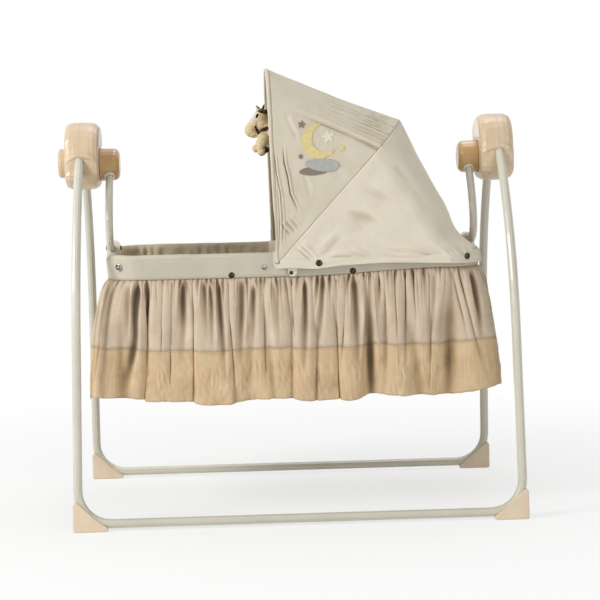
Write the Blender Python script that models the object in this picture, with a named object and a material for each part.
# Baby cradle: a tube stand, two pivot hubs, a swinging bed with a skirt, and a folding canopy.
# Metres, +Z up, +X along the bed, the open side of the canopy towards -X, floor at z = 0.
import math

import bmesh
import bpy
from mathutils import Matrix, Vector

# Fits shared by every piece
FIT_GAP = 0.0003
RUN_GAP = 0.0004
CUT_OVER = 0.002
EDGE_ROUND = 0.0015

# Stand: four legs from two hubs, two base bars along the bed
FOOT_TUBE_X = 0.531
FOOT_TUBE_Y = 0.330
LEG_HEAD_X = 0.5196
PIVOT_Z = 0.859
TUBE_R = 0.011
TUBE_WALL = 0.0015
LEG_FOOT_ANGLE = math.radians(6.5)
LEG_HEAD_ANGLE = math.radians(43.0)
LEG_BOW_R = 0.7225
LEG_BOW_START_Z = 0.450
LEG_JOINT_Z = 0.4025
BASE_JOINT_X = -0.035
CORNER_R = 0.078
PLUG_LENGTH = 0.035
PLUG_SLACK = 0.002
SOCKET_DEPTH = 0.045
TUBE_SIDES = 12
BOW_STEPS = 8
CORNER_STEPS = 7

# Feet: wedges that fill the outside of each corner bend
FOOT_LENGTH = 0.083
FOOT_HEIGHT = 0.071
FOOT_WIDTH = 0.034
FOOT_WALL = 0.0015
SOLE = 0.006
FOOT_OUTLINE_SHARES = (
    (0.03, 0.0), (0.96, 0.0), (1.0, 0.05), (0.98, 0.14), (0.62, 0.46),
    (0.23, 0.90), (0.12, 1.0), (0.04, 0.99), (0.01, 0.93), (0.0, 0.06),
)

# Hubs: two moulded half shells closed on the legs, a light plate and, on the left, a drum cover
HUB_INNER_X = 0.474
HUB_OUTER_X = 0.556
HUB_CENTRE_Z = 0.8815
HUB_HEAD_R = 0.0835
HUB_BOSS_DEPTH = 0.0905
HUB_BOTTOM_Z = 0.798
HUB_LEDGE_Z = 0.893
HUB_WALL = 0.003
CORE_SHARE = 0.3
HUB_EDGE_R = 0.012
HUB_EDGE_DEPTH = 0.024
HUB_BOSS_POWER = 2.25
HUB_LEDGE_DROP = 0.016
RECESS_DEPTH = 0.006
RECESS_LOW_Z = 0.836
BROW_Z = 0.882
SADDLE_WIDTH = 0.030
SADDLE_START = 0.016
SADDLE_LENGTH = 0.027
PLATE_EDGE = 0.012
PLATE_BOTTOM_Z = 0.906
PLATE_THICK = 0.0025
DRUM_R = 0.0365
DRUM_DEPTH = 0.021
DRUM_ROUND = 0.008
DRUM_Z = 0.864

# Pivots: a steel axle in a bush at each end carries a cap and the hanger
AXLE_R = 0.007
AXLE_CAP_DEPTH = 0.030
AXLE_HEAD_R = 0.0115
AXLE_HEAD_THICK = 0.004
AXLE_STAND_OUT = 0.002
BUSH_WALL = 0.005
BUSH_LENGTH = 0.026
BUSH_FLANGE_R = 0.016
BUSH_FLANGE_THICK = 0.002
BOSS_WALL = 0.003
CAP_R = 0.041
CAP_END_R = 0.0400
CAP_ROUND = 0.015
CAP_LENGTH = 0.049
CAP_GAP = 0.0008
ROUND_SIDES = 20
BORE_SIDES = 16

# Hangers: C-shaped tubes from the caps to the ends of the bed
HANGER_R = 0.0095
HANGER_START = 0.013
HANGER_ANGLE = math.radians(45.0)
HANGER_CURVE_OUT = 0.130
HANGER_CURVE_IN = 0.138
HANGER_STEPS = 12
HANGER_X = 0.4495
HANGER_RISE = 0.001
FERRULE_R = 0.014
FERRULE_DEPTH = 0.003
FERRULE_STAND_OUT = 0.003

# Bed rail: a rounded ring of tube in two halves
RAIL_R = 0.0095
RAIL_END_X = 0.444
RAIL_SIDE_Y = 0.2085
RAIL_CORNER_R = 0.075
RAIL_Z = 0.6295
RAIL_JOINT_X = 0.0
RAIL_CORNER_STEPS = 6

# Brackets that clamp the hangers to the rail
BRACKET_X = 0.4460
BRACKET_HALF_X = 0.0160
BRACKET_LENGTH = 0.048
BRACKET_FOOT_DROP = 0.0130
BRACKET_HEAD_RISE = 0.0185
HANGER_NOTCH = 0.018
BOLT_R = 0.003
BOLT_HEAD_R = 0.0055
BOLT_HEAD_THICK = 0.003

# Liner: one sewn tub folded over the rail, its outer flap is the band above the skirt
CLOTH = 0.0025
BAND_DROP = 0.0455
BAND_TAPER = 0.004
TUB_DEPTH = 0.1595
TUB_TAPER = 0.012
LINER_CORNER_STEPS = RAIL_CORNER_STEPS

# Mattress on a board
BOARD_THICK = 0.006
BOARD_CLEAR = 0.002
MATTRESS_THICK = 0.038
MATTRESS_CROWN = 0.007
MATTRESS_DRAW = 0.010

# Skirt: a gathered upper cloth with a deeper-coloured hem band
SKIRT_SEAM_DROP = 0.169
SKIRT_HEM_DROP = 0.292
SKIRT_FLARE_X = 0.043
SKIRT_FLARE_Y = 0.056
SKIRT_CORNER_FLARE = 0.35
SKIRT_CORNER_LIFT = 0.018
SKIRT_FOLDS = 36
SKIRT_FOLD_POINTS = 3
FOLD_DEPTH_TOP = 0.0018
FOLD_DEPTH_SEAM = 0.009
FOLD_DEPTH_HEM = 0.012

# Canopy: two bows on side hinges, two cloth panels
CANOPY_PIVOT_X = -0.041
CANOPY_PIVOT_DROP = 0.0115
BOW_WIRE_R = 0.0025
BOW_SIDES = 6
BOW_EYE_R = 0.008
BOW_EYE_THICK = 0.0025
BOW_FLAT_LENGTH = 0.058
BOW_FLAT_HALF_WIDTH = 0.004
CLIP_HALF_X = 0.011
CLIP_TONGUE_OFFSET = 0.035
CLIP_WALL = 0.003
CLIP_DROP = 0.045
CLIP_INNER_DROP = 0.024
PIN_R = 0.003
PIN_HEAD_R = 0.0055
PIN_HEAD_THICK = 0.0015
FRONT_BOW_ANGLE = math.radians(-1.5)
MIDDLE_BOW_ANGLE = math.radians(42.8)
FRONT_BOW_REACH = 0.4503
MIDDLE_BOW_REACH = 0.4420
BOW_CORNER_R = 0.110
BOW_CROWN = 0.012
PANEL_FLANGE = 0.010
PANEL_SAG = 0.004
PANEL_STEPS = 5
SEAM_START = 0.006
REAR_FOLD_ANGLE = math.radians(80.5)
REAR_FOLD_REACH = 0.4522
RIM_FOLD_ANGLE = math.radians(87.6)
RIM_REACH = 0.5014
REAR_CORNER_R = 0.105
REAR_SAG = 0.006
REAR_STEPS = 3
HEM_FRONT_DROP = 0.013
HEM_REAR_DROP = 0.006
HEM_CORNER = ((-0.0095, -0.0026), (-0.0065, -0.0100), (0.008, -0.0130))
NOTCH_HALF_Y = 0.125
NOTCH_X = 0.422
NOTCH_RISE = 0.0485

# Toy pony that hangs on a cord just behind the front bow
TOY_CORD_R = 0.0011
TOY_HINGE_SHARE = 0.043
TOY_LOOP_WIDTH = 0.009
TOY_LOOP_LENGTH = 0.1088
TOY_BODY_LENGTH = 0.100
TOY_REAR_SHARE = 0.66
TOY_BODY_R = 0.028
TOY_HEAD_R = 0.0215
TOY_BODY_SHARES = (0.90, 0.96, 1.0, 0.90)
TOY_HEAD_SHARES = (0.95, 1.0, 0.84, 0.86)
TOY_NECK_SHARES = (0.80, 0.90, 1.05)
TOY_EAR_SHARES = (0.34, 0.32, 0.14)
TOY_EAR_ROOT_SHARE = 0.22
TOY_EAR_ROOT_OUT_SHARE = 0.45
TOY_EAR_ROOT_UP_SHARE = 0.25
TOY_EAR_TIP_SHARES = (-0.15, 0.35, 1.05)
TOY_NECK_TOP_SHARE = 0.2
TOY_NECK_FOOT_SHARE = 0.8
TOY_POLL = (0.010, 0.052)
TOY_NOSE = (-0.030, -0.012)
TOY_LEG_SHARES = (1.0, 0.90, 1.08)
TOY_LEG_TOP_SHARE = 0.35
TOY_LEG_SPLAY_SHARE = 0.3
TOY_FORELEG_IN_SHARE = 0.7
TOY_HINDLEG_IN_SHARE = 1.2
TOY_LEG_SLANTS = {("fore", -1): 0.0, ("fore", 1): -0.32, ("hind", -1): 0.05, ("hind", 1): 0.25}
TOY_LEG_LENGTH = 0.056
TOY_LEG_R = 0.0118
TOY_LEG_SPREAD = 0.015

# The left drum makes the outline uneven, so the whole model is moved by half its depth
SHIFT_X = DRUM_DEPTH / 2

# Sizes that follow from the values above
FLOOR_TUBE_Z = SOLE + TUBE_R
HUB_SPLIT_X = LEG_HEAD_X
BAND_IN = (RAIL_R + FIT_GAP) / math.cos(math.pi / TUBE_SIDES)
BAND_OUT = BAND_IN + CLOTH
HANGER_END_Z = RAIL_Z + RAIL_R + HANGER_R + HANGER_RISE
BAND_BOTTOM_Z = RAIL_Z - BAND_DROP
TUB_FLOOR_Z = RAIL_Z - TUB_DEPTH
SKIRT_SEAM_Z = BAND_BOTTOM_Z - SKIRT_SEAM_DROP
SKIRT_HEM_Z = BAND_BOTTOM_Z - SKIRT_HEM_DROP
CANOPY_PIVOT_Z = RAIL_Z - CANOPY_PIVOT_DROP
CLIP_LOW_Z = RAIL_Z - CLIP_DROP
HEM_FRONT_Z = CANOPY_PIVOT_Z - HEM_FRONT_DROP
HEM_REAR_Z = CANOPY_PIVOT_Z - HEM_REAR_DROP
NOTCH_TOP_Z = RAIL_Z + NOTCH_RISE
CLIP_FACE_Y = RAIL_SIDE_Y + BAND_OUT + FIT_GAP + CLIP_WALL
MIDDLE_EYE_Y = CLIP_FACE_Y + FIT_GAP + BOW_EYE_THICK / 2
FRONT_EYE_Y = MIDDLE_EYE_Y + FIT_GAP + BOW_EYE_THICK
PANEL_Y = FRONT_EYE_Y + BOW_EYE_THICK / 2 + PIN_HEAD_THICK + FIT_GAP * 2
CAP_OUTER_X = HUB_INNER_X - CAP_GAP
CAP_INNER_X = CAP_OUTER_X - CAP_LENGTH


# Materials

def material(name, colour, roughness, metallic=0.0):
    found = bpy.data.materials.get(name)
    if found:
        return found
    made = bpy.data.materials.new(name)
    made.use_nodes = True
    shader = made.node_tree.nodes["Principled BSDF"]
    shader.inputs["Base Color"].default_value = (*colour, 1.0)
    shader.inputs["Roughness"].default_value = roughness
    shader.inputs["Metallic"].default_value = metallic
    made.diffuse_color = (*colour, 1.0)
    return made


def tube_paint():
    return material("ivory_tube_paint", (0.60, 0.57, 0.48), 0.35)


def peach_plastic():
    return material("peach_plastic", (0.72, 0.54, 0.38), 0.45)


def tan_plastic():
    return material("tan_plastic", (0.40, 0.26, 0.11), 0.25)


def cream_plastic():
    return material("cream_plastic", (0.78, 0.72, 0.62), 0.35)


def foot_plastic():
    return material("foot_plastic", (0.68, 0.50, 0.33), 0.5)


def steel():
    return material("zinc_steel", (0.55, 0.55, 0.56), 0.3, 1.0)


def bush_plastic():
    return material("bush_plastic", (0.85, 0.85, 0.82), 0.4)


def canopy_cloth():
    return material("canopy_cloth", (0.65, 0.58, 0.46), 0.9)


def liner_cloth():
    return material("liner_cloth", (0.56, 0.52, 0.42), 0.9)


def skirt_cloth():
    return material("skirt_cloth", (0.60, 0.50, 0.41), 0.9)


def hem_cloth():
    return material("hem_cloth", (0.66, 0.47, 0.29), 0.85)


def mattress_cloth():
    return material("mattress_cloth", (0.75, 0.71, 0.62), 0.9)


def board_fibre():
    return material("board_fibre", (0.42, 0.30, 0.19), 0.7)


def bow_plastic():
    return material("bow_wire", (0.62, 0.57, 0.47), 0.4)


def plush(name="toy_plush", colour=(0.50, 0.38, 0.22)):
    return material(name, colour, 1.0)


# Building blocks

def add_object(name, bm, look, smooth=True):
    bmesh.ops.recalc_face_normals(bm, faces=bm.faces)
    mesh = bpy.data.meshes.new(name)
    bm.to_mesh(mesh)
    bm.free()
    obj = bpy.data.objects.new(name, mesh)
    bpy.context.collection.objects.link(obj)
    obj.data.materials.append(look)
    if smooth:
        mesh.shade_smooth()
        mesh.set_sharp_from_angle(angle=math.radians(40))
    return obj


def empty(name, place, parent=None):
    obj = bpy.data.objects.new(name, None)
    bpy.context.collection.objects.link(obj)
    obj.location = place
    obj.parent = parent
    return obj


def hang_on(obj, parent, place):
    # The mesh is drawn in the cradle's frame, so the joint's place is taken off its points.
    obj.data.transform(Matrix.Translation(-Vector(place)))
    obj.parent = parent
    return obj


def loft(name, rings, look, smooth=True):
    # Rings of equal counts, closed with a face at each end
    bm = bmesh.new()
    loops = [[bm.verts.new(point) for point in ring] for ring in rings]
    count = len(loops[0])
    for one, two in zip(loops, loops[1:]):
        for i in range(count):
            j = (i + 1) % count
            bm.faces.new((one[i], one[j], two[j], two[i]))
    bm.faces.new(loops[0])
    bm.faces.new(list(reversed(loops[-1])))
    return add_object(name, bm, look, smooth)


def circle(centre, across, up, radius, sides, radius_up=None):
    radius_up = radius if radius_up is None else radius_up
    turn = 2 * math.pi / sides
    points = []
    for i in range(sides):
        angle = turn * (i + 0.5)
        points.append(centre + across * (radius * math.cos(angle)) + up * (radius_up * math.sin(angle)))
    return points


def path_frames(path):
    # One direction and one steady pair of side directions for each point of a path
    points = [Vector(p) for p in path]
    ahead = []
    for i in range(len(points)):
        before = points[max(i - 1, 0)]
        after = points[min(i + 1, len(points) - 1)]
        ahead.append((after - before).normalized())
    across = Vector((0.0, 1.0, 0.0)).cross(ahead[0])
    if across.length < 0.2:
        across = Vector((1.0, 0.0, 0.0))
    frames = []
    for point, way in zip(points, ahead):
        across = (across - way * across.dot(way)).normalized()
        frames.append((point, across, way.cross(across)))
    return frames


def tube(name, path, radius, look, sides=TUBE_SIDES, before=(), after=()):
    # before and after hold (distance along the end's direction, radius) for plugs and sockets
    frames = path_frames(path)
    rings = []
    start, across, up = frames[0]
    way = across.cross(up)
    for distance, size in before:
        rings.append(circle(start + way * distance, across, up, size, sides))
    for point, side, high in frames:
        rings.append(circle(point, side, high, radius, sides))
    end, across, up = frames[-1]
    way = across.cross(up)
    for distance, size in after:
        rings.append(circle(end + way * distance, across, up, size, sides))
    return loft(name, rings, look)


def lathe(name, centre, axis, profile, look, sides=ROUND_SIDES):
    # profile: (distance along the axis, radius), ends closed flat
    way = Vector(axis).normalized()
    across = way.orthogonal().normalized()
    if abs(way.x) > 0.9:
        across = Vector((0.0, 1.0, 0.0))
    up = way.cross(across)
    rings = [circle(Vector(centre) + way * d, across, up, r, sides) for d, r in profile]
    return loft(name, rings, look)


def rounded_end(reach, radius, fillet, steps=4):
    # Profile points from the side of a drum round to its flat end
    points = []
    for i in range(steps + 1):
        angle = math.pi / 2 * i / steps
        along = reach - fillet + fillet * math.sin(angle)
        points.append((along, radius - fillet + fillet * math.cos(angle)))
    return points


def hole_radius(radius, gap, sides):
    # A faceted hole clears a round of this radius by the gap at its flats
    return (radius + gap) / math.cos(math.pi / sides)


def box(name, low, high, look):
    bm = bmesh.new()
    bmesh.ops.create_cube(bm, size=1.0)
    size = Vector(high) - Vector(low)
    middle = (Vector(high) + Vector(low)) / 2
    for vert in bm.verts:
        vert.co = Vector(vert.co[i] * size[i] + middle[i] for i in range(3))
    return add_object(name, bm, look, smooth=False)


def prism(name, outline, axis, low, high, look, smooth=True):
    # outline holds the two other coordinates in X, Y, Z order
    rings = []
    for level in (low, high):
        ring = []
        for a, b in outline:
            values = [a, b]
            values.insert(axis, level)
            ring.append(Vector(values))
        rings.append(ring)
    return loft(name, rings, look, smooth)


def hide_tool(tool):
    tool.hide_render = True
    tool.display_type = "WIRE"


def boolean(obj, tool, operation):
    step = obj.modifiers.new(f"{operation.lower()}_{tool.name}"[:60], "BOOLEAN")
    step.operation = operation
    step.solver = "EXACT"
    step.object = tool
    hide_tool(tool)


def cut(obj, tool):
    boolean(obj, tool, "DIFFERENCE")


def join(obj, tool):
    boolean(obj, tool, "UNION")


def keep_inside(obj, tool):
    boolean(obj, tool, "INTERSECT")


def soften(obj, width=EDGE_ROUND, segments=1, angle=50.0):
    step = obj.modifiers.new("soft_edges", "BEVEL")
    step.width = width
    step.segments = segments
    step.limit_method = "ANGLE"
    step.angle_limit = math.radians(angle)
    step.use_clamp_overlap = True


def fillet(before, corner, after, radius, steps):
    to_before = (before - corner).normalized()
    to_after = (after - corner).normalized()
    opening = to_before.angle(to_after)
    back = radius / math.tan(opening / 2)
    start = corner + to_before * back
    centre = corner + (to_before + to_after).normalized() * (radius / math.sin(opening / 2))
    axis = to_after.cross(to_before).normalized()
    turn = math.pi - opening
    arm = start - centre
    return [centre + Matrix.Rotation(turn * i / steps, 3, axis) @ arm for i in range(steps + 1)]


# Stand

def leg_x(z):
    return FOOT_TUBE_X + (LEG_HEAD_X - FOOT_TUBE_X) * z / PIVOT_Z


def leg_point(side, face, y, z):
    return Vector((side * leg_x(z), face * y, z))


def straight_leg_y(z):
    return FOOT_TUBE_Y - (z - FLOOR_TUBE_Z) * math.tan(LEG_FOOT_ANGLE)


def bow_place(angle):
    # Place on the bowed stretch where the tube leans by this angle
    y = straight_leg_y(LEG_BOW_START_Z) - LEG_BOW_R * (math.cos(LEG_FOOT_ANGLE) - math.cos(angle))
    z = LEG_BOW_START_Z + LEG_BOW_R * (math.sin(angle) - math.sin(LEG_FOOT_ANGLE))
    return y, z


def leg_head(side, face):
    # Where the leg enters the hub, and its direction into the hub
    y, z = bow_place(LEG_HEAD_ANGLE)
    place = leg_point(side, face, y, z)
    lean = (LEG_HEAD_X - FOOT_TUBE_X) / PIVOT_Z
    way = Vector((side * lean, -face * math.tan(LEG_HEAD_ANGLE), 1.0)).normalized()
    return place, way


def end_name(side):
    return "left" if side < 0 else "right"


def face_name(face):
    return "front" if face < 0 else "rear"


def upper_leg(side, face, stand):
    head, way = leg_head(side, face)
    path = [head + way * SOCKET_DEPTH]
    for i in range(BOW_STEPS + 1):
        share = i / BOW_STEPS
        y, z = bow_place(LEG_HEAD_ANGLE + (LEG_FOOT_ANGLE - LEG_HEAD_ANGLE) * share)
        path.append(leg_point(side, face, y, z))
    low_z = LEG_JOINT_Z + FIT_GAP / 2
    path.append(leg_point(side, face, straight_leg_y(low_z), low_z))
    bore = TUBE_R - TUBE_WALL
    socket = ((0.0, bore), (-PLUG_LENGTH - PLUG_SLACK, bore))
    obj = tube(f"upper_leg_{face_name(face)}_{end_name(side)}", path, TUBE_R, tube_paint(), after=socket)
    obj.parent = stand


def lower_tube_path(side, face):
    top_z = LEG_JOINT_Z - FIT_GAP / 2
    top = leg_point(side, face, straight_leg_y(top_z), top_z)
    corner = leg_point(side, face, FOOT_TUBE_Y, FLOOR_TUBE_Z)
    # The two base bars meet at a joint left of the middle
    stop_x = BASE_JOINT_X + side * FIT_GAP / 2
    end = Vector((stop_x, face * FOOT_TUBE_Y, FLOOR_TUBE_Z))
    return [top] + fillet(top, corner, end, CORNER_R, CORNER_STEPS) + [end]


def lower_tube(side, face, stand):
    plug = TUBE_R - TUBE_WALL - RUN_GAP
    bore = TUBE_R - TUBE_WALL
    before = ((-PLUG_LENGTH, plug), (0.0, plug))
    after = ((0.0, plug), (PLUG_LENGTH, plug))
    if side > 0:
        after = ((0.0, bore), (-PLUG_LENGTH - PLUG_SLACK, bore))
    name = f"base_tube_{face_name(face)}_{end_name(side)}"
    obj = tube(name, lower_tube_path(side, face), TUBE_R, tube_paint(), before=before, after=after)
    obj.parent = stand


def foot(side, face, stand):
    outer_x = leg_x(FOOT_HEIGHT) + TUBE_R + FOOT_WALL
    lean = math.tan(LEG_FOOT_ANGLE)
    rings = []
    for half in (-FOOT_WIDTH / 2, FOOT_WIDTH / 2):
        ring = []
        for along, high in FOOT_OUTLINE_SHARES:
            z = high * FOOT_HEIGHT
            x = outer_x - along * FOOT_LENGTH
            y = FOOT_TUBE_Y + half - max(z - FLOOR_TUBE_Z, 0.0) * lean
            ring.append(Vector((side * x, face * y, z)))
        rings.append(ring)
    name = f"foot_{face_name(face)}_{end_name(side)}"
    obj = loft(name, rings, foot_plastic())
    soften(obj, EDGE_ROUND * 2, 2)
    channel = tube(f"cut_{name}", lower_tube_path(side, face), TUBE_R + FIT_GAP, foot_plastic())
    cut(obj, channel)
    obj.parent = stand
    channel.parent = stand


# Hubs

def hub_outline(inset, spread=0.0):
    # Side view of the hub as (y, z): a round head, a brow that overhangs a recess, and a deep boss.
    # spread is 0 where the two shells meet and 1 at the outer faces, where the brow dies away.
    depth = HUB_BOSS_DEPTH - inset
    drop = HUB_LEDGE_DROP * spread ** 2
    recess = RECESS_DEPTH * (1 - spread ** 2)
    power = 2 / HUB_BOSS_POWER
    height = RECESS_LOW_Z - HUB_BOTTOM_Z - inset
    half = []
    steps = 5
    for i in range(steps + 1):
        angle = math.pi / 2 * i / steps
        half.append((depth * math.sin(angle) ** power, RECESS_LOW_Z - height * math.cos(angle) ** power))
    brow = BROW_Z - drop
    rise = brow - RECESS_LOW_Z
    for high, deep in ((0.25, 0.75), (0.55, 1.0), (0.85, 0.8)):
        half.append((depth - recess * deep, RECESS_LOW_Z + rise * high))
    half.append((depth, brow))
    ledge = HUB_LEDGE_Z - drop
    half.append((depth - EDGE_ROUND, ledge - EDGE_ROUND))
    radius = HUB_HEAD_R - inset
    start = math.asin((ledge + EDGE_ROUND - HUB_CENTRE_Z) / radius)
    steps = 6
    for i in range(steps + 1):
        angle = start + (math.pi / 2 - start) * i / steps
        half.append((radius * math.cos(angle), HUB_CENTRE_Z + radius * math.sin(angle)))
    mirrored = [(-y, z) for y, z in reversed(half[1:-1])]
    return half + mirrored


def hub_ring(side, x, inset, spread=0.0):
    return [Vector((side * x, y, z)) for y, z in hub_outline(inset, spread)]


def half_shell(name, side, outward, look):
    # outward is 1 for the half away from the bed and -1 for the half towards it
    split = HUB_SPLIT_X + outward * FIT_GAP / 2
    depth = (HUB_OUTER_X - split) if outward > 0 else (split - HUB_INNER_X)
    straight = depth - HUB_EDGE_DEPTH
    turn_share = straight / depth
    rings = [hub_ring(side, split + outward * (depth - HUB_WALL), HUB_WALL + HUB_EDGE_R, 1.0)]
    rings.append(hub_ring(side, split + outward * straight, HUB_WALL, turn_share))
    rings.append(hub_ring(side, split, HUB_WALL))
    rings.append(hub_ring(side, split, 0.0))
    steps = 3
    for i in range(steps + 1):
        angle = math.pi / 2 * i / steps
        away = straight + HUB_EDGE_DEPTH * math.sin(angle)
        rings.append(hub_ring(side, split + outward * away, HUB_EDGE_R * (1 - math.cos(angle)), away / depth))
    return loft(name, rings, look)


def hub_core(side):
    # The whole hub as one solid whose skin runs inside the shells' walls
    skin = HUB_WALL * CORE_SHARE
    rings = [hub_ring(side, HUB_SPLIT_X, skin)]
    for outward, face in ((-1, HUB_INNER_X), (1, HUB_OUTER_X)):
        depth = outward * (face - HUB_SPLIT_X)
        straight = depth - HUB_EDGE_DEPTH - skin
        near = hub_ring(side, HUB_SPLIT_X + outward * straight, skin, straight / depth)
        far = hub_ring(side, HUB_SPLIT_X + outward * (depth - skin), skin + HUB_EDGE_R, 1.0)
        rings = [far, near] + rings if outward < 0 else rings + [near, far]
    return loft(f"hub_core_{end_name(side)}", rings, peach_plastic())


def leg_saddle(name, side, face, outward):
    # Moulded block between the shell's wall and the split, hollowed by the leg's end
    head, way = leg_head(side, face)
    across = Vector((0.0, way.z, -way.y)).normalized() * (SADDLE_WIDTH / 2)
    split = HUB_SPLIT_X + outward * FIT_GAP / 2
    outer = HUB_OUTER_X if outward > 0 else HUB_INNER_X
    floor = outer + outward * CUT_OVER
    near = head + way * SADDLE_START
    far = near + way * SADDLE_LENGTH
    rings = []
    for x in (split, floor):
        corners = (near - across, near + across, far + across, far - across)
        rings.append([Vector((side * x, spot.y, spot.z)) for spot in corners])
    return loft(name, rings, peach_plastic(), smooth=False)


def leg_hole(name, side, face):
    head, way = leg_head(side, face)
    radius = hole_radius(TUBE_R, FIT_GAP, ROUND_SIDES)
    return lathe(name, head, way, ((-SOCKET_DEPTH, radius), (SOCKET_DEPTH + FIT_GAP, radius)), peach_plastic())


def hub(side, stand):
    end = end_name(side)
    core = hub_core(side)
    core.parent = stand
    for outward, part in ((1, "outer"), (-1, "inner")):
        name = f"hub_{part}_shell_{end}"
        shell = half_shell(name, side, outward, peach_plastic())
        shell.parent = stand
        for face in (-1, 1):
            where = f"{part}_{face_name(face)}_{end}"
            saddle = leg_saddle(f"saddle_{where}", side, face, outward)
            saddle.parent = stand
            keep_inside(saddle, core)
            join(shell, saddle)
        if outward < 0:
            boss = lathe(f"bush_boss_{end}", (side * HUB_INNER_X, 0.0, PIVOT_Z), (side, 0.0, 0.0),
                         ((HUB_WALL / 2, AXLE_R + BUSH_WALL + BOSS_WALL),
                          (BUSH_LENGTH, AXLE_R + BUSH_WALL + BOSS_WALL)), peach_plastic())
            boss.parent = stand
            join(shell, boss)
            seat = hole_radius(AXLE_R + BUSH_WALL, FIT_GAP, ROUND_SIDES)
            flange = hole_radius(BUSH_FLANGE_R, FIT_GAP, ROUND_SIDES)
            bore = lathe(f"bush_bore_{end}", (side * HUB_INNER_X, 0.0, PIVOT_Z), (side, 0.0, 0.0),
                         ((-CUT_OVER, flange), (BUSH_FLANGE_THICK + FIT_GAP, flange),
                          (BUSH_FLANGE_THICK + FIT_GAP, seat), (BUSH_LENGTH + CUT_OVER, seat)),
                         peach_plastic())
            bore.parent = stand
            cut(shell, bore)
        for face in (-1, 1):
            tool = leg_hole(f"leg_hole_{part}_{face_name(face)}_{end}", side, face)
            tool.parent = stand
            cut(shell, tool)


def hub_plate(side, stand):
    # Light smooth plate on the side of the head that faces the bed
    outline = [(y, max(z, PLATE_BOTTOM_Z)) for y, z in hub_outline(PLATE_EDGE) if z > PLATE_BOTTOM_Z]
    reach = math.sqrt((HUB_HEAD_R - PLATE_EDGE) ** 2 - (PLATE_BOTTOM_Z - HUB_CENTRE_Z) ** 2)
    outline = [(reach, PLATE_BOTTOM_Z)] + outline + [(-reach, PLATE_BOTTOM_Z)]
    near = HUB_INNER_X - FIT_GAP
    far = near - PLATE_THICK
    obj = prism(f"hub_plate_{end_name(side)}", outline, 0, side * near, side * far, cream_plastic())
    soften(obj, EDGE_ROUND * 0.6)
    obj.parent = stand


def hub_drum(stand):
    base = HUB_OUTER_X + FIT_GAP
    profile = [(0.0, DRUM_R)] + rounded_end(DRUM_DEPTH - FIT_GAP, DRUM_R, DRUM_ROUND)
    obj = lathe("hub_drum_cover_left", (-base, 0.0, DRUM_Z), (-1.0, 0.0, 0.0), profile, peach_plastic())
    obj.parent = stand


def bush(side, stand):
    bore = hole_radius(AXLE_R, RUN_GAP / 4, ROUND_SIDES)
    outer = AXLE_R + BUSH_WALL
    start = (side * HUB_INNER_X, 0.0, PIVOT_Z)
    profile = ((0.0, bore), (0.0, BUSH_FLANGE_R), (BUSH_FLANGE_THICK, BUSH_FLANGE_R),
               (BUSH_FLANGE_THICK, outer), (BUSH_LENGTH, outer), (BUSH_LENGTH, bore))
    way = Vector((side, 0.0, 0.0))
    across = Vector((0.0, 1.0, 0.0))
    up = way.cross(across)
    bm = bmesh.new()
    rings = [circle(Vector(start) + way * d, across, up, r, ROUND_SIDES) for d, r in profile]
    loops = [[bm.verts.new(point) for point in ring] for ring in rings]
    for one, two in zip(loops, loops[1:] + loops[:1]):
        for i in range(ROUND_SIDES):
            j = (i + 1) % ROUND_SIDES
            bm.faces.new((one[i], one[j], two[j], two[i]))
    obj = add_object(f"pivot_bush_{end_name(side)}", bm, bush_plastic())
    obj.parent = stand


# Swinging parts at each end of the bed

def hanger_way():
    return Vector((0.0, -math.cos(HANGER_ANGLE), -math.sin(HANGER_ANGLE)))


def pivot_cap(side, bed):
    end = end_name(side)
    profile = [(0.0, CAP_R)] + rounded_end(CAP_LENGTH, CAP_END_R, CAP_ROUND)
    start = Vector((side * CAP_OUTER_X, 0.0, PIVOT_Z))
    inward = Vector((-side, 0.0, 0.0))
    cap = lathe(f"pivot_cap_{end}", start, inward, profile, tan_plastic(), sides=ROUND_SIDES + 4)
    seat = hole_radius(AXLE_R, FIT_GAP, ROUND_SIDES)
    bore = lathe(f"axle_seat_{end}", start, inward,
                 ((-CUT_OVER, seat), (AXLE_CAP_DEPTH + FIT_GAP, seat)), tan_plastic())
    centre = Vector((side * HANGER_X, 0.0, PIVOT_Z))
    hole = hole_radius(HANGER_R, FIT_GAP, ROUND_SIDES)
    ring = hole_radius(FERRULE_R, FIT_GAP, ROUND_SIDES)
    floor = CAP_R - FERRULE_DEPTH
    socket = lathe(f"hanger_seat_{end}", centre, hanger_way(),
                   ((HANGER_START - FIT_GAP, hole), (floor, hole), (floor, ring), (CAP_R + CUT_OVER, ring)),
                   tan_plastic())
    for tool in (bore, socket):
        hang_on(tool, bed, bed["place"])
        cut(cap, tool)
    hang_on(cap, bed, bed["place"])


def pivot_axle(side, bed):
    start = Vector((side * (CAP_OUTER_X - AXLE_CAP_DEPTH), 0.0, PIVOT_Z))
    head = HUB_INNER_X + BUSH_LENGTH + FIT_GAP - abs(start.x)
    stop = head + AXLE_HEAD_THICK + AXLE_STAND_OUT
    profile = ((0.0, AXLE_R), (head, AXLE_R), (head, AXLE_HEAD_R), (head + AXLE_HEAD_THICK, AXLE_HEAD_R),
               (head + AXLE_HEAD_THICK, AXLE_R), (stop, AXLE_R))
    obj = lathe(f"pivot_axle_{end_name(side)}", start, (side, 0.0, 0.0), profile, steel())
    hang_on(obj, bed, bed["place"])


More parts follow.
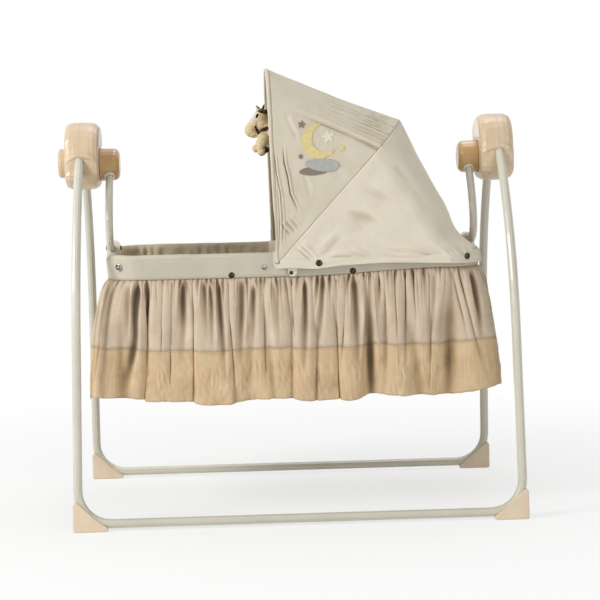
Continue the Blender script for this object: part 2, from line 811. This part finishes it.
def hanger_path(side):
    x = side * HANGER_X
    centre = Vector((x, 0.0, PIVOT_Z))
    way = hanger_way()
    leave = centre + way * CAP_R
    arrive = Vector((x, -BRACKET_LENGTH / 2, HANGER_END_Z))
    first = leave + way * HANGER_CURVE_OUT
    second = arrive + Vector((0.0, -HANGER_CURVE_IN + BRACKET_LENGTH / 2, 0.0))
    path = [centre + way * HANGER_START]
    for i in range(HANGER_STEPS + 1):
        t = i / HANGER_STEPS
        u = 1 - t
        path.append(leave * u ** 3 + first * (3 * u * u * t) + second * (3 * u * t * t) + arrive * t ** 3)
    path.append(Vector((x, BRACKET_LENGTH / 2 - CUT_OVER, HANGER_END_Z)))
    return path


def hanger(side, bed):
    end = end_name(side)
    obj = tube(f"hanger_{end}", hanger_path(side), HANGER_R, tube_paint())
    hole = bolt_hole(f"hanger_bolt_hole_{end}", side, HANGER_END_Z, FIT_GAP)
    hang_on(hole, bed, bed["place"])
    cut(obj, hole)
    hang_on(obj, bed, bed["place"])


def ferrule(side, bed):
    centre = Vector((side * HANGER_X, 0.0, PIVOT_Z))
    way = hanger_way()
    hole = hole_radius(HANGER_R, FIT_GAP, ROUND_SIDES)
    low = CAP_R - FERRULE_DEPTH + FIT_GAP
    top = CAP_R + FERRULE_STAND_OUT
    soft = EDGE_ROUND
    profile = ((low, hole), (low, FERRULE_R), (top - soft, FERRULE_R), (top, FERRULE_R - soft), (top, hole))
    across = way.orthogonal().normalized()
    up = way.cross(across)
    bm = bmesh.new()
    loops = []
    for d, r in profile:
        ring = circle(centre + way * d, across, up, r, ROUND_SIDES)
        loops.append([bm.verts.new(point) for point in ring])
    for one, two in zip(loops, loops[1:] + loops[:1]):
        for i in range(ROUND_SIDES):
            j = (i + 1) % ROUND_SIDES
            bm.faces.new((one[i], one[j], two[j], two[i]))
    obj = add_object(f"hanger_ferrule_{end_name(side)}", bm, cream_plastic())
    hang_on(obj, bed, bed["place"])


def bolt_hole(name, side, z, gap):
    radius = hole_radius(BOLT_R, gap, BORE_SIDES)
    start = (side * (BRACKET_X - BRACKET_HALF_X - BOLT_HEAD_THICK * 2), 0.0, z)
    reach = (BRACKET_HALF_X + BOLT_HEAD_THICK * 2) * 2
    return lathe(name, start, (side, 0.0, 0.0), ((0.0, radius), (reach, radius)), steel(), sides=BORE_SIDES)


def bracket(side, bed):
    # Clamp with an arched top, bored for the rail below and the hanger above
    end = end_name(side)
    low = RAIL_Z - BRACKET_FOOT_DROP
    top = HANGER_END_Z + BRACKET_HEAD_RISE
    spring = top - BRACKET_HALF_X
    middle = side * BRACKET_X
    outline = [(middle - BRACKET_HALF_X, low), (middle + BRACKET_HALF_X, low)]
    steps = 8
    for i in range(steps + 1):
        angle = math.pi * i / steps
        outline.append((middle + BRACKET_HALF_X * math.cos(angle),
                        spring + BRACKET_HALF_X * math.sin(angle)))
    half = BRACKET_LENGTH / 2
    obj = prism(f"hanger_bracket_{end}", outline, 1, -half, half, peach_plastic())
    tools = [bolt_hole(f"bracket_bolt_hole_{end}", side, HANGER_END_Z, FIT_GAP)]
    bores = ((RAIL_END_X, RAIL_Z, RAIL_R, "rail"), (HANGER_X, HANGER_END_Z, HANGER_R, "hanger"))
    for x, z, radius, tag in bores:
        size = hole_radius(radius, FIT_GAP, TUBE_SIDES)
        start = (side * x, -half - CUT_OVER, z)
        tools.append(lathe(f"bracket_{tag}_bore_{end}", start, (0.0, 1.0, 0.0),
                           ((0.0, size), (BRACKET_LENGTH + CUT_OVER * 2, size)), peach_plastic(),
                           sides=TUBE_SIDES))
    for tool in tools:
        hang_on(tool, bed, bed["place"])
        cut(obj, tool)
    hang_on(obj, bed, bed["place"])


def bracket_bolt(side, bed):
    half = BRACKET_HALF_X + FIT_GAP
    start = Vector((side * (BRACKET_X + half + BOLT_HEAD_THICK), 0.0, HANGER_END_Z))
    profile = ((0.0, BOLT_HEAD_R), (BOLT_HEAD_THICK, BOLT_HEAD_R), (BOLT_HEAD_THICK, BOLT_R),
               (BOLT_HEAD_THICK + half * 2, BOLT_R), (BOLT_HEAD_THICK + half * 2, BOLT_HEAD_R),
               (BOLT_HEAD_THICK * 2 + half * 2, BOLT_HEAD_R))
    obj = lathe(f"bracket_bolt_{end_name(side)}", start, (-side, 0.0, 0.0), profile, steel(), sides=BORE_SIDES)
    hang_on(obj, bed, bed["place"])


# Bed

def plan_ring(out, z, corner_steps, straight_steps=1):
    # Rounded rectangle at this distance outside the rail's centre line
    corner = RAIL_CORNER_R + out
    middle_x = RAIL_END_X - RAIL_CORNER_R
    middle_y = RAIL_SIDE_Y - RAIL_CORNER_R
    points = []
    quarters = ((1, 1), (-1, 1), (-1, -1), (1, -1))
    for number, (sx, sy) in enumerate(quarters):
        for i in range(corner_steps + 1):
            angle = math.pi / 2 * (number + i / corner_steps)
            points.append(Vector((sx * middle_x + corner * math.cos(angle),
                                  sy * middle_y + corner * math.sin(angle), z)))
        following = quarters[(number + 1) % 4]
        last = points[-1]
        angle = math.pi / 2 * (number + 1)
        target = Vector((following[0] * middle_x + corner * math.cos(angle),
                         following[1] * middle_y + corner * math.sin(angle), z))
        for i in range(1, straight_steps):
            points.append(last.lerp(target, i / straight_steps))
    return points


def rail_half(side, bed):
    # The right half carries the plugs that slide into the left half
    ring = plan_ring(0.0, RAIL_Z, RAIL_CORNER_STEPS)
    stop = RAIL_JOINT_X + side * FIT_GAP / 2
    chosen = [p for p in ring if p.x * side > 0]
    if side > 0:
        chosen = sorted(chosen, key=lambda p: math.atan2(p.y, p.x))
    else:
        chosen = sorted(chosen, key=lambda p: math.atan2(p.y, -p.x))
    path = [Vector((stop, -RAIL_SIDE_Y, RAIL_Z))] + chosen + [Vector((stop, RAIL_SIDE_Y, RAIL_Z))]
    bore = RAIL_R - TUBE_WALL
    plug = bore - RUN_GAP
    if side > 0:
        before = ((-PLUG_LENGTH, plug), (0.0, plug))
        after = ((0.0, plug), (PLUG_LENGTH, plug))
    else:
        before = ((PLUG_LENGTH + PLUG_SLACK, bore), (0.0, bore))
        after = ((0.0, bore), (-PLUG_LENGTH - PLUG_SLACK, bore))
    obj = tube(f"bed_rail_{end_name(side)}", path, RAIL_R, tube_paint(), before=before, after=after)
    hang_on(obj, bed, bed["place"])


def over_rail(radius, first, last):
    # Points over the top of the rail at this distance, from the first side to the last
    steps = TUBE_SIDES // 2
    points = []
    for i in range(steps + 1):
        angle = math.pi * i / steps
        points.append((radius * math.cos(angle), RAIL_Z + radius * math.sin(angle)))
    return points if first > last else list(reversed(points))


def liner(bed):
    foot = -BAND_OUT - TUB_TAPER
    wall_low = RAIL_Z - CLIP_INNER_DROP - CLOTH
    profile = [(foot + CLOTH * 2, TUB_FLOOR_Z - CLOTH), (foot + CLOTH, TUB_FLOOR_Z + CLOTH)]
    profile += [(-BAND_IN, wall_low)]
    profile += over_rail(BAND_IN, -1, 1)
    profile += [(BAND_IN - BAND_TAPER, BAND_BOTTOM_Z), (BAND_OUT - BAND_TAPER, BAND_BOTTOM_Z)]
    profile += over_rail(BAND_OUT, 1, -1)
    profile += [(-BAND_OUT, wall_low), (foot, TUB_FLOOR_Z)]
    rings = [plan_ring(out, z, LINER_CORNER_STEPS) for out, z in profile]
    obj = loft("bed_liner", rings, liner_cloth())
    for side in (-1, 1):
        centre = side * BRACKET_X
        half_x = BRACKET_HALF_X + FIT_GAP
        half_y = BRACKET_LENGTH / 2 + HANGER_NOTCH
        tool = box(f"bracket_notch_{end_name(side)}",
                   (centre - half_x - CUT_OVER, -half_y, RAIL_Z - BRACKET_FOOT_DROP - FIT_GAP),
                   (centre + half_x, half_y, HANGER_END_Z), liner_cloth())
        hang_on(tool, bed, bed["place"])
        cut(obj, tool)
    hang_on(obj, bed, bed["place"])


def floor_board(bed):
    low = TUB_FLOOR_Z + FIT_GAP
    out = -BAND_OUT - TUB_TAPER - BOARD_CLEAR
    rings = [plan_ring(out, z, LINER_CORNER_STEPS) for z in (low, low + BOARD_THICK)]
    obj = loft("floor_board", rings, board_fibre(), smooth=False)
    hang_on(obj, bed, bed["place"])


def mattress(bed):
    low = TUB_FLOOR_Z + BOARD_THICK + FIT_GAP * 2
    top = low + MATTRESS_THICK
    edge = -BAND_OUT - TUB_TAPER - BOARD_CLEAR
    levels = ((edge - MATTRESS_DRAW, low), (edge - MATTRESS_DRAW / 4, low + MATTRESS_THICK * 0.2),
              (edge, low + MATTRESS_THICK * 0.5), (edge - MATTRESS_DRAW / 4, low + MATTRESS_THICK * 0.8),
              (edge - MATTRESS_DRAW, top), (edge - MATTRESS_DRAW * 4, top + MATTRESS_CROWN * 0.6),
              (edge - MATTRESS_DRAW * 9, top + MATTRESS_CROWN))
    rings = []
    for out, z in levels:
        rings.append(plan_ring(max(out, -RAIL_CORNER_R + MATTRESS_DRAW / 2), z, LINER_CORNER_STEPS))
    # The innermost ring keeps its corners by a straight scaling towards the middle
    share = 0.5
    rings[-1] = [Vector((p.x * share, p.y * share, levels[-1][1])) for p in rings[-2]]
    obj = loft("mattress", rings, mattress_cloth())
    hang_on(obj, bed, bed["place"])


def skirt_ring(drop_share, z, fold_depth, inset=0.0):
    # drop_share is 0 at the band and 1 at the hem
    count = SKIRT_FOLDS * SKIRT_FOLD_POINTS
    smooth = plan_ring(0.0, z, 24, 40)
    lengths = [0.0]
    for one, two in zip(smooth, smooth[1:] + smooth[:1]):
        lengths.append(lengths[-1] + (two - one).length)
    total = lengths[-1]
    spread = math.sqrt(drop_share)
    points = []
    spot = 0
    for i in range(count):
        target = total * i / count
        while lengths[spot + 1] < target:
            spot += 1
        one = smooth[spot]
        two = smooth[(spot + 1) % len(smooth)]
        base = one.lerp(two, (target - lengths[spot]) / (lengths[spot + 1] - lengths[spot]))
        way = (two - one).normalized()
        normal = Vector((way.y, -way.x, 0.0))
        corner = 2 * abs(normal.x * normal.y)
        round_share = 2 * math.pi * i / count
        fold = math.sin(2 * math.pi * i / SKIRT_FOLD_POINTS + math.sin(5 * round_share))
        out = BAND_OUT - CLOTH - BAND_TAPER - inset + fold_depth * fold * (1 + 0.3 * math.sin(7 * round_share))
        wide = spread * (1 + SKIRT_CORNER_FLARE * corner)
        x = base.x + normal.x * (out + SKIRT_FLARE_X * wide)
        y = base.y + normal.y * (out + SKIRT_FLARE_Y * wide)
        points.append(Vector((x, y, z + SKIRT_CORNER_LIFT * drop_share * corner)))
    return points


def skirt_piece(name, levels, look, bed):
    # levels: (drop share, z, fold depth); out over the outside and back up the inside
    rings = [skirt_ring(share, z, depth) for share, z, depth in levels]
    rings += [skirt_ring(share, z, depth, CLOTH) for share, z, depth in reversed(levels)]
    bm = bmesh.new()
    loops = [[bm.verts.new(point) for point in ring] for ring in rings]
    count = len(loops[0])
    for one, two in zip(loops, loops[1:] + loops[:1]):
        for i in range(count):
            j = (i + 1) % count
            bm.faces.new((one[i], one[j], two[j], two[i]))
    obj = add_object(name, bm, look)
    hang_on(obj, bed, bed["place"])


def skirt(bed):
    top = BAND_BOTTOM_Z - FIT_GAP
    drop = top - SKIRT_HEM_Z
    seam_share = (top - SKIRT_SEAM_Z) / drop
    upper = []
    for share in (0.0, 0.04, 0.20, seam_share):
        depth = FOLD_DEPTH_TOP + (FOLD_DEPTH_SEAM - FOLD_DEPTH_TOP) * math.sqrt(share / seam_share)
        upper.append((share, top - drop * share, depth))
    half_gap = FIT_GAP / 2
    upper[-1] = (seam_share, SKIRT_SEAM_Z + half_gap, FOLD_DEPTH_SEAM)
    lower = ((seam_share, SKIRT_SEAM_Z - half_gap, FOLD_DEPTH_SEAM), (1.0, SKIRT_HEM_Z, FOLD_DEPTH_HEM))
    skirt_piece("skirt_cloth", upper, skirt_cloth(), bed)
    skirt_piece("skirt_hem_band", lower, hem_cloth(), bed)


# Canopy

def rim_clip(face, bed):
    # Moulded hook over the rim. Its plate carries the canopy's pin and ends behind it in a round tongue
    inner = BAND_OUT + FIT_GAP
    outer = inner + CLIP_WALL
    high = RAIL_Z - CLIP_INNER_DROP
    outline = [(outer, RAIL_Z - CLIP_WALL)] + over_rail(outer, 1, -1) + [(-outer, high), (-inner, high)]
    outline += over_rail(inner, -1, 1) + [(inner, RAIL_Z - CLIP_WALL)]
    outline = [(face * (RAIL_SIDE_Y + y), z) for y, z in outline]
    left = CANOPY_PIVOT_X - CLIP_HALF_X
    tongue_x = CANOPY_PIVOT_X + CLIP_TONGUE_OFFSET
    right = tongue_x + CLIP_HALF_X
    obj = prism(f"canopy_clip_{face_name(face)}", outline, 0, left, right, cream_plastic())
    plate = [(right, RAIL_Z), (left, RAIL_Z)]
    steps = 6
    for i in range(steps + 1):
        angle = math.pi * (1 + i / steps / 2)
        plate.append((CANOPY_PIVOT_X + CLIP_HALF_X * math.cos(angle),
                      CANOPY_PIVOT_Z + CLIP_HALF_X * math.sin(angle)))
    plate.append((tongue_x - CLIP_HALF_X, CANOPY_PIVOT_Z - CLIP_HALF_X))
    for i in range(steps + 1):
        angle = math.pi * (1 + i / steps)
        plate.append((tongue_x + CLIP_HALF_X * math.cos(angle),
                      CLIP_LOW_Z + CLIP_HALF_X + CLIP_HALF_X * math.sin(angle)))
    near = face * (RAIL_SIDE_Y + inner)
    far = face * (RAIL_SIDE_Y + outer)
    tongue = prism(f"clip_plate_{face_name(face)}", plate, 1, near, far, cream_plastic())
    hang_on(tongue, bed, bed["place"])
    join(obj, tongue)
    tool = pin_hole(f"clip_pin_hole_{face_name(face)}", face)
    hang_on(tool, bed, bed["place"])
    cut(obj, tool)
    hang_on(obj, bed, bed["place"])


def pin_hole(name, face):
    radius = hole_radius(PIN_R, FIT_GAP, BORE_SIDES)
    start = (CANOPY_PIVOT_X, face * (RAIL_SIDE_Y + BAND_OUT - CUT_OVER), CANOPY_PIVOT_Z)
    reach = PANEL_Y - RAIL_SIDE_Y - BAND_OUT + CUT_OVER * 3
    return lathe(name, start, (0.0, face, 0.0), ((0.0, radius), (reach, radius)), steel(), sides=BORE_SIDES)


def hinge_pin(face, bed):
    start = RAIL_SIDE_Y + BAND_OUT + FIT_GAP * 2
    shank = FRONT_EYE_Y + BOW_EYE_THICK / 2 + FIT_GAP - start
    profile = ((0.0, PIN_R), (shank, PIN_R), (shank, PIN_HEAD_R), (shank + PIN_HEAD_THICK * 0.6, PIN_HEAD_R),
               (shank + PIN_HEAD_THICK, PIN_HEAD_R * 0.7))
    obj = lathe(f"canopy_pin_{face_name(face)}", (CANOPY_PIVOT_X, face * start, CANOPY_PIVOT_Z),
                (0.0, face, 0.0), profile, steel(), sides=BORE_SIDES)
    hang_on(obj, bed, bed["place"])


def rib(angle, half_width, reach, corner, start, crown=BOW_CROWN):
    # One U-shaped line across the canopy in the plane that leans back by this angle
    way = Vector((math.sin(angle), 0.0, math.cos(angle)))
    pivot = Vector((CANOPY_PIVOT_X, 0.0, CANOPY_PIVOT_Z))
    leg_end = reach - corner
    half = []
    leg_steps = 4
    for i in range(leg_steps):
        half.append((half_width, start + (leg_end - start) * i / leg_steps))
    arc_steps = 6
    for i in range(arc_steps + 1):
        turn = math.pi / 2 * i / arc_steps
        half.append((half_width - corner + corner * math.cos(turn), leg_end + corner * math.sin(turn)))
    middle = half_width - corner
    half.append((middle * 0.5, reach))
    half.append((0.0, reach))
    points = []
    for width, along in half:
        rise = crown * (1 - (width / half_width) ** 2)
        points.append(pivot + way * (along + rise) + Vector((0.0, -width, 0.0)))
    other = [Vector((p.x, -p.y, p.z)) for p in reversed(points[:-1])]
    return points + other


def bow(name, angle, eye_y, reach, parent):
    line = rib(angle, eye_y, reach, BOW_CORNER_R, BOW_FLAT_LENGTH)
    way = Vector((math.sin(angle), 0.0, math.cos(angle)))
    tangent = Vector((math.cos(angle), 0.0, -math.sin(angle)))
    pivot = Vector((CANOPY_PIVOT_X, 0.0, CANOPY_PIVOT_Z))
    flat_start = BOW_EYE_R * 0.5
    flats = [pivot + way * flat_start, pivot + way * (BOW_FLAT_LENGTH - BOW_WIRE_R * 2)]
    near = [p + Vector((0.0, -eye_y, 0.0)) for p in flats]
    far = [p + Vector((0.0, eye_y, 0.0)) for p in reversed(flats)]
    path = near + line + far
    rings = []
    for i, point in enumerate(path):
        before = path[max(i - 1, 0)]
        after = path[min(i + 1, len(path) - 1)]
        ahead = (after - before).normalized()
        normal = ahead.cross(tangent).normalized()
        flat = i < len(near) or i >= len(path) - len(far)
        thick = BOW_EYE_THICK * 0.45 if flat else BOW_WIRE_R
        wide = BOW_FLAT_HALF_WIDTH if flat else BOW_WIRE_R
        rings.append(circle(point, tangent, normal, wide, BOW_SIDES, thick))
    obj = loft(name, rings, bow_plastic())
    place = parent["place"]
    for face in (-1, 1):
        inner = eye_y - BOW_EYE_THICK / 2
        eye = lathe(f"{name}_eye_{face_name(face)}", (pivot.x, face * inner, pivot.z), (0.0, face, 0.0),
                    ((0.0, BOW_EYE_R), (BOW_EYE_THICK, BOW_EYE_R)), bow_plastic(), sides=BORE_SIDES)
        hang_on(eye, parent, place)
        join(obj, eye)
    for face in (-1, 1):
        radius = hole_radius(PIN_R, FIT_GAP, BORE_SIDES)
        inner = eye_y - BOW_EYE_THICK / 2 - CUT_OVER
        hole = lathe(f"{name}_hole_{face_name(face)}", (pivot.x, face * inner, pivot.z), (0.0, face, 0.0),
                     ((0.0, radius), (BOW_EYE_THICK + CUT_OVER * 2, radius)), bow_plastic(), sides=BORE_SIDES)
        hang_on(hole, parent, place)
        cut(obj, hole)
    hang_on(obj, parent, place)
    return obj


def blend_ribs(one, two, share, sag=0.0):
    pivot = Vector((CANOPY_PIVOT_X, 0.0, CANOPY_PIVOT_Z))
    points = []
    for a, b in zip(one, two):
        point = a.lerp(b, share)
        if sag:
            away = Vector((point.x - pivot.x, 0.0, point.z - pivot.z)).normalized()
            free = 1 - (abs(point.y) / PANEL_Y) ** 4
            point = point + away * (sag * free)
        points.append(point)
    return points


def shell_between(name, outer_ribs, inner_ribs, look):
    # Two sheets joined all round their edge
    bm = bmesh.new()
    outer = [[bm.verts.new(p) for p in line] for line in outer_ribs]
    inner = [[bm.verts.new(p) for p in line] for line in inner_ribs]
    rows = len(outer)
    count = len(outer[0])
    for r in range(rows - 1):
        for c in range(count - 1):
            bm.faces.new((outer[r][c], outer[r][c + 1], outer[r + 1][c + 1], outer[r + 1][c]))
            bm.faces.new((inner[r][c], inner[r + 1][c], inner[r + 1][c + 1], inner[r][c + 1]))
    for c in range(count - 1):
        for r in (0, rows - 1):
            bm.faces.new((outer[r][c], outer[r][c + 1], inner[r][c + 1], inner[r][c]))
    for r in range(rows - 1):
        for c in (0, count - 1):
            bm.faces.new((outer[r][c], outer[r + 1][c], inner[r + 1][c], inner[r][c]))
    return add_object(name, bm, look)


def panel_reach(bow_reach, turn):
    # The cloth runs over the bow wire and leaves it at this turn
    return bow_reach + (BOW_WIRE_R + FIT_GAP) / math.cos(turn)


def along_bow(angle):
    # The direction in which a bow at this angle would move back
    return Vector((math.cos(angle), 0.0, -math.sin(angle)))


def front_ribs(skin):
    half_turn = (MIDDLE_BOW_ANGLE - FRONT_BOW_ANGLE) / 2
    width = PANEL_Y + skin
    front_reach = panel_reach(FRONT_BOW_REACH, half_turn) + skin
    middle_reach = panel_reach(MIDDLE_BOW_REACH, half_turn) + skin
    first = rib(FRONT_BOW_ANGLE, width, front_reach, BOW_CORNER_R, FIT_GAP)
    lip = [point - along_bow(FRONT_BOW_ANGLE) * PANEL_FLANGE for point in first]
    seam = FIT_GAP / 2
    last = rib(MIDDLE_BOW_ANGLE, width, middle_reach, BOW_CORNER_R, SEAM_START)
    last = [point - along_bow(MIDDLE_BOW_ANGLE) * seam for point in last]
    ribs = [lip, first]
    for i in range(1, PANEL_STEPS):
        share = i / PANEL_STEPS
        ribs.append(blend_ribs(first, last, share, -PANEL_SAG * math.sin(math.pi * share)))
    return ribs + [last]


def canopy_front(parent):
    obj = shell_between("canopy_front_panel", front_ribs(CLOTH), front_ribs(0.0), canopy_cloth())
    hang_on(obj, parent, parent["place"])


def hem_line(skin):
    # The lower edge of the cloth: level along the band, rounded up at the front corner
    width = PANEL_Y + skin
    corner = REAR_CORNER_R + skin
    end_x = CANOPY_PIVOT_X + RIM_REACH + skin
    half = [Vector((CANOPY_PIVOT_X + x, -width, CANOPY_PIVOT_Z + z)) for x, z in HEM_CORNER]
    half.append(Vector(((CANOPY_PIVOT_X + end_x - corner) / 2, -width, (HEM_FRONT_Z + HEM_REAR_Z) / 2)))
    steps = 6
    for i in range(steps + 1):
        turn = math.pi / 2 * i / steps
        half.append(Vector((end_x - corner + corner * math.sin(turn),
                            -(width - corner + corner * math.cos(turn)), HEM_REAR_Z)))
    half.append(Vector((end_x, -(width - corner) / 2, HEM_REAR_Z)))
    half.append(Vector((end_x, 0.0, HEM_REAR_Z)))
    return half + [Vector((p.x, -p.y, p.z)) for p in reversed(half[:-1])]


def rear_ribs(skin):
    half_turn = (MIDDLE_BOW_ANGLE - FRONT_BOW_ANGLE) / 2
    width = PANEL_Y + skin
    reach = panel_reach(MIDDLE_BOW_REACH, half_turn) + skin
    first = rib(MIDDLE_BOW_ANGLE, width, reach, BOW_CORNER_R, SEAM_START)
    first = [point + along_bow(MIDDLE_BOW_ANGLE) * (FIT_GAP / 2) for point in first]
    fold = rib(REAR_FOLD_ANGLE, width, REAR_FOLD_REACH + skin, REAR_CORNER_R + skin, SEAM_START, 0.0)
    over = rib(RIM_FOLD_ANGLE, width, RIM_REACH + skin, REAR_CORNER_R + skin, SEAM_START, 0.0)
    ribs = [first]
    for i in range(1, REAR_STEPS):
        share = i / REAR_STEPS
        ribs.append(blend_ribs(first, fold, share, -REAR_SAG * math.sin(math.pi * share)))
    return ribs + [fold, over, hem_line(skin)]


def canopy_rear(parent):
    obj = shell_between("canopy_rear_panel", rear_ribs(CLOTH), rear_ribs(0.0), canopy_cloth())
    notch = box("hanger_notch", (NOTCH_X, -NOTCH_HALF_Y, BAND_BOTTOM_Z - CUT_OVER),
                (RAIL_END_X + BAND_OUT * 4, NOTCH_HALF_Y, NOTCH_TOP_Z), canopy_cloth())
    place = parent["place"]
    hang_on(notch, parent, place)
    cut(obj, notch)
    hang_on(obj, parent, place)


def hem_underside():
    # The place on the cloth's lower face, just behind the front bow, where the toy's cord is sewn
    ribs = front_ribs(0.0)
    middle = len(ribs[1]) // 2
    return ribs[1][middle].lerp(ribs[2][middle], TOY_HINGE_SHARE * PANEL_STEPS)


# Toy

def stuffed(name, start, end, radii, look, sides=10, steps=7):
    # A limb or body that swells and tapers between two points, with round ends
    start = Vector(start)
    end = Vector(end)
    way = (end - start)
    length = way.length
    way = way.normalized()
    across = Vector((0.0, 1.0, 0.0))
    up = way.cross(across).normalized()
    across = up.cross(way)
    rings = []
    for i in range(steps + 1):
        t = i / steps
        spot = (len(radii) - 1) * t
        low = min(int(spot), len(radii) - 2)
        mix = spot - low
        size = radii[low] * (1 - mix) + radii[low + 1] * mix
        cap = math.sqrt(max(1 - (2 * t - 1) ** 4, 0.02))
        rings.append(circle(start + way * (length * t), across, up, size * cap, sides))
    return loft(name, rings, look)


def shares_of(radius, shares):
    return [radius * share for share in shares]


def toy(parent, hinge):
    # Pony seen from its side: the head points towards the open side of the canopy
    place = parent["place"]
    look = plush()
    back_z = hinge.z - TOY_LOOP_LENGTH
    body_z = back_z - TOY_BODY_R
    rear = Vector((hinge.x + TOY_BODY_LENGTH * TOY_REAR_SHARE, 0.0, body_z))
    chest = Vector((rear.x - TOY_BODY_LENGTH, 0.0, body_z))
    body = stuffed("toy_body", rear, chest, shares_of(TOY_BODY_R, TOY_BODY_SHARES), look)
    tight = [radius + FIT_GAP for radius in shares_of(TOY_BODY_R, TOY_BODY_SHARES)]
    gap = Vector((FIT_GAP, 0.0, 0.0))
    body_cut = stuffed("cut_toy_body", rear + gap, chest - gap, tight, look)
    hang_on(body_cut, parent, place)

    poll = chest + Vector((TOY_POLL[0], 0.0, TOY_POLL[1]))
    nose = chest + Vector((TOY_NOSE[0], 0.0, TOY_NOSE[1]))
    head = stuffed("toy_head", poll, nose, shares_of(TOY_HEAD_R, TOY_HEAD_SHARES), look)
    neck_foot = chest + Vector((TOY_BODY_R * TOY_NECK_FOOT_SHARE, 0.0, 0.0))
    neck = stuffed("toy_neck", poll.lerp(nose, TOY_NECK_TOP_SHARE), neck_foot,
                   shares_of(TOY_HEAD_R, TOY_NECK_SHARES), look)
    hang_on(neck, parent, place)
    join(head, neck)
    ahead, aside, up = TOY_EAR_TIP_SHARES
    for face in (-1, 1):
        out_and_up = Vector((0.0, face * TOY_EAR_ROOT_OUT_SHARE, TOY_EAR_ROOT_UP_SHARE))
        root = poll.lerp(nose, TOY_EAR_ROOT_SHARE) + TOY_HEAD_R * out_and_up
        tip = root + TOY_HEAD_R * Vector((ahead, face * aside, up))
        radii = shares_of(TOY_HEAD_R, TOY_EAR_SHARES)
        ear = stuffed(f"toy_ear_{face_name(face)}", root, tip, radii, look, 6, 4)
        hang_on(ear, parent, place)
        join(head, ear)
    cut(head, body_cut)
    leg_x = {"fore": chest.x + TOY_LEG_R * TOY_FORELEG_IN_SHARE,
             "hind": rear.x - TOY_LEG_R * TOY_HINDLEG_IN_SHARE}
    for (kind, face), slant in TOY_LEG_SLANTS.items():
        top = Vector((leg_x[kind], face * TOY_LEG_SPREAD, body_z - TOY_BODY_R * TOY_LEG_TOP_SHARE))
        splay = face * TOY_LEG_R * TOY_LEG_SPLAY_SHARE
        low = top + Vector((slant * TOY_LEG_LENGTH, splay, -TOY_LEG_LENGTH))
        radii = shares_of(TOY_LEG_R, TOY_LEG_SHARES)
        leg = stuffed(f"toy_{kind}leg_{face_name(face)}", top, low, radii, look)
        cut(leg, body_cut)
        hang_on(leg, parent, place)
    hang_on(head, parent, place)
    hang_on(body, parent, place)
    toy_loop(parent, hinge, back_z)


def toy_loop(parent, hinge, back_z):
    # A long closed loop of cord from the hem down to the pony's back
    bend = TOY_LOOP_WIDTH / 2
    high = hinge.z - bend
    low = back_z + FIT_GAP + TOY_CORD_R + bend
    steps = 6
    line = []
    for turn, z in ((0.0, high), (math.pi, low)):
        for i in range(steps + 1):
            angle = turn + math.pi * i / steps
            line.append(Vector((hinge.x, bend * math.cos(angle), z + bend * math.sin(angle))))
    bm = bmesh.new()
    loops = []
    count = len(line)
    side = Vector((1.0, 0.0, 0.0))
    for i, point in enumerate(line):
        ahead = (line[(i + 1) % count] - line[i - 1]).normalized()
        ring = circle(point, side, ahead.cross(side), TOY_CORD_R, 6)
        loops.append([bm.verts.new(spot) for spot in ring])
    for one, two in zip(loops, loops[1:] + loops[:1]):
        for i in range(6):
            j = (i + 1) % 6
            bm.faces.new((one[i], one[j], two[j], two[i]))
    obj = add_object("toy_cord_loop", bm, material("toy_cord", (0.75, 0.70, 0.60), 0.9))
    hang_on(obj, parent, parent["place"])


# The whole cradle

def build():
    for obj in list(bpy.data.objects):
        bpy.data.objects.remove(obj, do_unlink=True)

    stand = empty("cradle_stand", (SHIFT_X, 0.0, 0.0))
    for side in (-1, 1):
        for face in (-1, 1):
            upper_leg(side, face, stand)
            lower_tube(side, face, stand)
            foot(side, face, stand)
        hub(side, stand)
        hub_plate(side, stand)
        bush(side, stand)
    hub_drum(stand)

    bed_place = (0.0, 0.0, PIVOT_Z)
    bed = empty("swing_axis", bed_place, stand)
    bed["place"] = bed_place
    for side in (-1, 1):
        pivot_cap(side, bed)
        pivot_axle(side, bed)
        hanger(side, bed)
        ferrule(side, bed)
        bracket(side, bed)
        bracket_bolt(side, bed)
        rail_half(side, bed)
    liner(bed)
    floor_board(bed)
    mattress(bed)
    skirt(bed)
    for face in (-1, 1):
        rim_clip(face, bed)
        hinge_pin(face, bed)

    hinge_place = Vector((CANOPY_PIVOT_X, 0.0, CANOPY_PIVOT_Z))
    middle = empty("canopy_middle_axis", hinge_place - Vector(bed_place), bed)
    middle["place"] = hinge_place
    bow("canopy_middle_bow", MIDDLE_BOW_ANGLE, MIDDLE_EYE_Y, MIDDLE_BOW_REACH, middle)
    canopy_rear(middle)
    front = empty("canopy_front_axis", (0.0, 0.0, 0.0), middle)
    front["place"] = hinge_place
    bow("canopy_front_bow", FRONT_BOW_ANGLE, FRONT_EYE_Y, FRONT_BOW_REACH, front)
    canopy_front(front)

    roof_slope = (MIDDLE_BOW_ANGLE - FRONT_BOW_ANGLE) / 2
    toy_hinge = hem_underside() - Vector((0.0, 0.0, (FIT_GAP + TOY_CORD_R) / math.cos(roof_slope)))
    toy_axis = empty("toy_axis", toy_hinge - hinge_place, front)
    toy_axis["place"] = toy_hinge
    toy(toy_axis, toy_hinge)


build()
